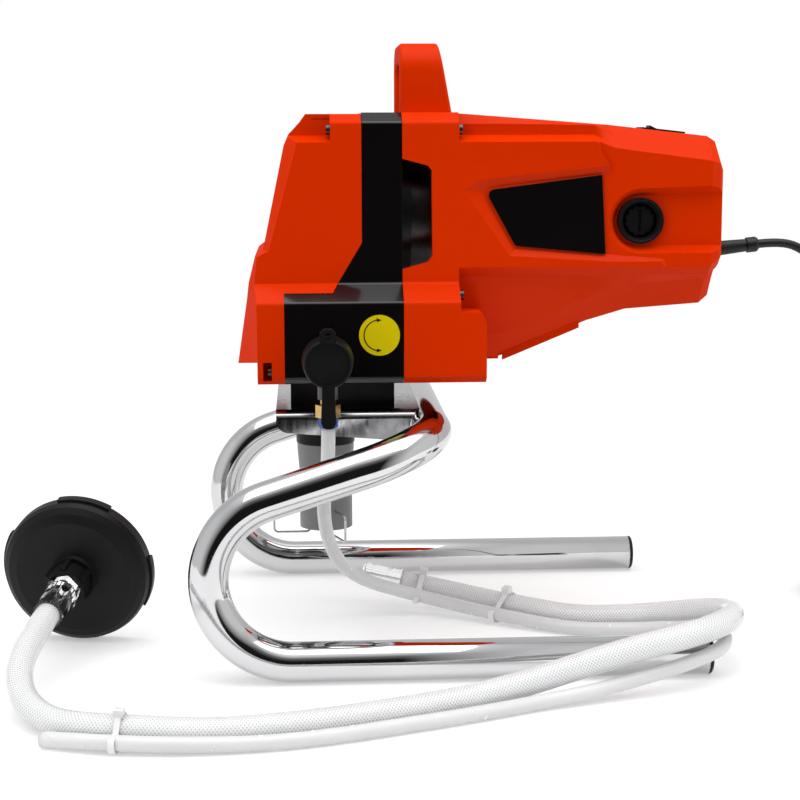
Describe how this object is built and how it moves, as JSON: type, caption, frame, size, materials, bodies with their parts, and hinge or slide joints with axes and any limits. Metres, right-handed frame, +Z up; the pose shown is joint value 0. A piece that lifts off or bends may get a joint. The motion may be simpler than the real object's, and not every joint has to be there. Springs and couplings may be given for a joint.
{
  "type": "airless paint sprayer",
  "caption": "Airless paint sprayer: a geared electric piston pump in a moulded housing on a bent tube stand, with suction hose, strainer and return tube.",
  "frame": {"origin": "on the floor under the middle of the machine, without its hoses and cord", "axes": "+X to the rear along the motor, +Y away from the priming lever, +Z up"},
  "size_m": [0.6673, 0.4019, 0.3928],
  "materials": {
    "chrome": "polished",
    "orange_plastic": "gloss",
    "black_gloss": "gloss",
    "black_plastic": "satin",
    "board_plastic": "satin",
    "white_plastic": "satin",
    "grey_plastic": "satin",
    "blue_plastic": "gloss",
    "yellow_label": "satin",
    "clear_plastic": "gloss",
    "black_rubber": "matte",
    "steel": "brushed",
    "dark_steel": "brushed",
    "cast_metal": "satin",
    "brass": "satin"
  },
  "bodies": {
    "frame": {"stand_tube": "chrome", "stand_end_caps": "black_plastic", "stand_plate": "chrome", "pump_bolts": "steel", "gear_housing": "black_gloss", "front_cover": "orange_plastic", "rear_housing": "orange_plastic", "side_panels": "black_gloss", "dial_cup": "black_plastic", "switch_body": "black_plastic", "control_board": "board_plastic", "housing_screws": "dark_steel", "pump_block": "cast_metal", "piston_packing": "white_plastic", "inlet_body": "grey_plastic", "inlet_collar": "black_plastic", "inlet_seat": "steel", "inlet_spring": "steel", "outlet_spring": "steel", "outlet_nipple": "steel", "valve_body": "dark_steel", "valve_label": "yellow_label", "brass_fitting": "brass", "blue_collar": "blue_plastic", "crank_bearing": "steel", "motor_can": "dark_steel", "motor_ring": "cast_metal", "motor_bearings": "steel", "motor_magnets": "dark_steel", "brush_holders": "black_plastic", "cord_relief": "black_rubber", "power_cord": "black_rubber", "power_cord_coil": "black_rubber", "plug_lead": "black_rubber", "mains_plug": "black_rubber", "strainer_cover": "black_plastic", "strainer_screen": "steel", "strainer_nut": "black_plastic", "hose_tail": "clear_plastic", "suction_connector": "clear_plastic", "suction_hose": "clear_plastic", "return_tube": "clear_plastic", "cable_ties": "white_plastic"},
    "knob": {"prime_knob": "black_plastic", "valve_stem": "steel"},
    "dial": {"pressure_dial": "black_plastic"},
    "rocker": {"switch_rocker": "black_plastic"},
    "rotor": {"rotor_shaft": "steel", "motor_core": "dark_steel", "commutator": "brass", "cooling_fan": "black_plastic"},
    "idler": {"idler_gear": "steel"},
    "crank": {"crank_gear": "steel", "crank_shaft": "steel"},
    "plunger": {"piston": "steel"},
    "inlet_valve": {"inlet_ball": "steel"},
    "outlet_valve": {"outlet_ball": "steel"},
    "front_clip": {"wire_clip_front": "steel"},
    "near_clip": {"wire_clip_near": "steel"}
  },
  "joints": [
    {"name": "prime_lever", "type": "hinge", "parent": "frame", "child": "knob", "pos_m": [-0.0852, -0.1, 0.1945], "axis": [0, 1, 0], "range_deg": [0, 180]},
    {"name": "pressure_turn", "type": "hinge", "parent": "frame", "child": "dial", "pos_m": [0.1182, -0.05, 0.2788], "axis": [0, 1, 0], "range_deg": [-135, 135]},
    {"name": "switch_rock", "type": "hinge", "parent": "frame", "child": "rocker", "pos_m": [0.14055, 0, 0.33141], "axis": [0, 1, 0], "range_deg": [-12, 0]},
    {"name": "rotor_spin", "type": "hinge", "parent": "frame", "child": "rotor", "pos_m": [0, 0, 0.284], "axis": [1, 0, 0], "continuous": true},
    {"name": "idler_spin", "type": "hinge", "parent": "frame", "child": "idler", "pos_m": [-0.05, 0.02439, 0.27849], "axis": [1, 0, 0], "continuous": true},
    {"name": "crank_spin", "type": "hinge", "parent": "frame", "child": "crank", "pos_m": [-0.05, 0, 0.25], "axis": [1, 0, 0], "continuous": true},
    {"name": "piston_stroke", "type": "slide", "parent": "frame", "child": "plunger", "axis": [0, 0, 1], "range_m": [-0.004, 0.004]},
    {"name": "inlet_ball_lift", "type": "slide", "parent": "frame", "child": "inlet_valve", "axis": [0, 0, 1], "range_m": [0, 0.002], "stiffness_N_per_m": 120, "deforming": ["inlet_spring"]},
    {"name": "outlet_ball_lift", "type": "slide", "parent": "frame", "child": "outlet_valve", "axis": [0, 1, 0], "range_m": [0, 0.0015], "stiffness_N_per_m": 120, "deforming": ["outlet_spring"]},
    {"name": "front_clip_swing", "type": "hinge", "parent": "frame", "child": "front_clip", "pos_m": [-0.086, 0, 0.0815], "axis": [-1, 0, 0], "range_deg": [-20, 20]},
    {"name": "near_clip_swing", "type": "hinge", "parent": "frame", "child": "near_clip", "pos_m": [-0.086, 0, 0.0815], "axis": [0.342, -0.9397, 0], "range_deg": [-20, 20]}
  ],
  "couplings": [
    {"joint": "idler_spin", "follows": "rotor_spin", "ratio": -0.25},
    {"joint": "crank_spin", "follows": "rotor_spin", "ratio": 0.0625}
  ]
}
